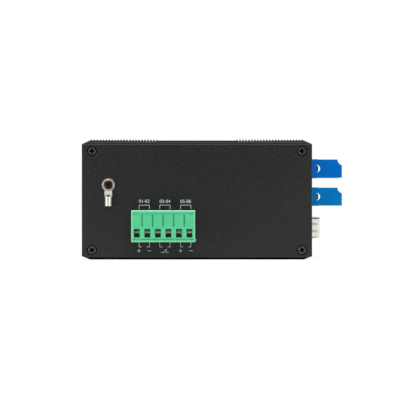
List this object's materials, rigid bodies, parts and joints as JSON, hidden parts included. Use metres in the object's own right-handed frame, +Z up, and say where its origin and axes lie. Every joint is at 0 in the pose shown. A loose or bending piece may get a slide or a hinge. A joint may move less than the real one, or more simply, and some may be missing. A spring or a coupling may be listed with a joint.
{
  "type": "industrial ethernet switch",
  "caption": "Finned black extruded case with bevelled corners, bolted end plates, a green screw-terminal power plug, a ground lug, duplex fibre noses, an optic cage and copper jacks.",
  "frame": {"origin": "middle of the bottom face of the extruded case, which the switch rests on", "axes": "+X from the back wall to the front panel, +Y from the power end to the plain end, +Z up"},
  "size_m": [0.1293, 0.17, 0.0589],
  "materials": {
    "black_anodised": "satin black anodised",
    "black_steel": "black oxide",
    "zinc_steel": "zinc plated",
    "tin_plate": "tin plated",
    "shield_sheet": "nickel plated sheet",
    "board": "solder mask",
    "blue_plastic": "moulded",
    "pale_plastic": "moulded",
    "green_plastic": "moulded",
    "jack_plastic": "moulded",
    "gold_plate": "gold plated",
    "lamp_plastic": "diffusing",
    "black_component": "moulded",
    "bright_aluminium": "bare"
  },
  "bodies": {
    "case": {"alarm_relay": "black_component", "bulk_capacitors": "bright_aluminium", "case_extrusion": "black_anodised", "chip_heat_sink": "bright_aluminium", "fibre_board_lower": "board", "fibre_board_upper": "board", "fibre_nose_lower": "blue_plastic", "fibre_nose_upper": "blue_plastic", "fibre_transceiver_lower": "shield_sheet", "fibre_transceiver_upper": "shield_sheet", "front_panel": "black_anodised", "ground_nut": "zinc_steel", "ground_screw": "black_steel", "header_pins": "tin_plate", "indicator_lamps": "lamp_plastic", "jack_contacts_1": "gold_plate", "jack_contacts_2": "gold_plate", "jack_contacts_3": "gold_plate", "jack_contacts_4": "gold_plate", "jack_insert_1": "jack_plastic", "jack_insert_2": "jack_plastic", "jack_insert_3": "jack_plastic", "jack_insert_4": "jack_plastic", "jack_shield_1": "shield_sheet", "jack_shield_2": "shield_sheet", "jack_shield_3": "shield_sheet", "jack_shield_4": "shield_sheet", "magnetics": "black_component", "main_board": "board", "plain_end_plate": "black_anodised", "plain_end_screws": "black_steel", "power_end_plate": "black_anodised", "power_end_screws": "black_steel", "power_inductor": "black_component", "ring_lug": "tin_plate", "sfp_cage": "shield_sheet", "sfp_connector": "jack_plastic", "sfp_spring_collar": "shield_sheet", "sleeve_holder_lower": "pale_plastic", "sleeve_holder_upper": "pale_plastic", "stack_connectors": "jack_plastic", "stack_screws": "zinc_steel", "stack_spacers_lower": "zinc_steel", "stack_spacers_upper": "zinc_steel", "switch_chip": "black_component", "terminal_header": "green_plastic"},
    "plug": {"terminal_plug": "green_plastic", "plug_contacts": "tin_plate"},
    "screw_1": {"clamp_screw_1": "zinc_steel"},
    "cage_1": {"clamp_cage_1": "zinc_steel"},
    "screw_2": {"clamp_screw_2": "zinc_steel"},
    "cage_2": {"clamp_cage_2": "zinc_steel"},
    "screw_3": {"clamp_screw_3": "zinc_steel"},
    "cage_3": {"clamp_cage_3": "zinc_steel"},
    "screw_4": {"clamp_screw_4": "zinc_steel"},
    "cage_4": {"clamp_cage_4": "zinc_steel"},
    "screw_5": {"clamp_screw_5": "zinc_steel"},
    "cage_5": {"clamp_cage_5": "zinc_steel"},
    "screw_6": {"clamp_screw_6": "zinc_steel"},
    "cage_6": {"clamp_cage_6": "zinc_steel"}
  },
  "joints": [
    {"name": "plug_pull", "type": "slide", "parent": "case", "child": "plug", "axis": [0, -1, 0], "range_m": [0, 0.02]},
    {"name": "clamp_screw_1_turn", "type": "hinge", "parent": "plug", "child": "screw_1", "pos_m": [-0.029, -0.0856, 0.02045], "axis": [0, 0, -1], "range_deg": [0, 1440]},
    {"name": "clamp_cage_1_rise", "type": "slide", "parent": "plug", "child": "cage_1", "axis": [0, 0, 1], "range_m": [0, 0.002]},
    {"name": "clamp_screw_2_turn", "type": "hinge", "parent": "plug", "child": "screw_2", "pos_m": [-0.02392, -0.0856, 0.02045], "axis": [0, 0, -1], "range_deg": [0, 1440]},
    {"name": "clamp_cage_2_rise", "type": "slide", "parent": "plug", "child": "cage_2", "axis": [0, 0, 1], "range_m": [0, 0.002]},
    {"name": "clamp_screw_3_turn", "type": "hinge", "parent": "plug", "child": "screw_3", "pos_m": [-0.01884, -0.0856, 0.02045], "axis": [0, 0, -1], "range_deg": [0, 1440]},
    {"name": "clamp_cage_3_rise", "type": "slide", "parent": "plug", "child": "cage_3", "axis": [0, 0, 1], "range_m": [0, 0.002]},
    {"name": "clamp_screw_4_turn", "type": "hinge", "parent": "plug", "child": "screw_4", "pos_m": [-0.01376, -0.0856, 0.02045], "axis": [0, 0, -1], "range_deg": [0, 1440]},
    {"name": "clamp_cage_4_rise", "type": "slide", "parent": "plug", "child": "cage_4", "axis": [0, 0, 1], "range_m": [0, 0.002]},
    {"name": "clamp_screw_5_turn", "type": "hinge", "parent": "plug", "child": "screw_5", "pos_m": [-0.00868, -0.0856, 0.02045], "axis": [0, 0, -1], "range_deg": [0, 1440]},
    {"name": "clamp_cage_5_rise", "type": "slide", "parent": "plug", "child": "cage_5", "axis": [0, 0, 1], "range_m": [0, 0.002]},
    {"name": "clamp_screw_6_turn", "type": "hinge", "parent": "plug", "child": "screw_6", "pos_m": [-0.0036, -0.0856, 0.02045], "axis": [0, 0, -1], "range_deg": [0, 1440]},
    {"name": "clamp_cage_6_rise", "type": "slide", "parent": "plug", "child": "cage_6", "axis": [0, 0, 1], "range_m": [0, 0.002]}
  ],
  "couplings": [
    {"joint": "clamp_screw_1_turn", "follows": "clamp_cage_1_rise", "rad_per_m": 12566},
    {"joint": "clamp_screw_2_turn", "follows": "clamp_cage_2_rise", "rad_per_m": 12566},
    {"joint": "clamp_screw_3_turn", "follows": "clamp_cage_3_rise", "rad_per_m": 12566},
    {"joint": "clamp_screw_4_turn", "follows": "clamp_cage_4_rise", "rad_per_m": 12566},
    {"joint": "clamp_screw_5_turn", "follows": "clamp_cage_5_rise", "rad_per_m": 12566},
    {"joint": "clamp_screw_6_turn", "follows": "clamp_cage_6_rise", "rad_per_m": 12566}
  ]
}
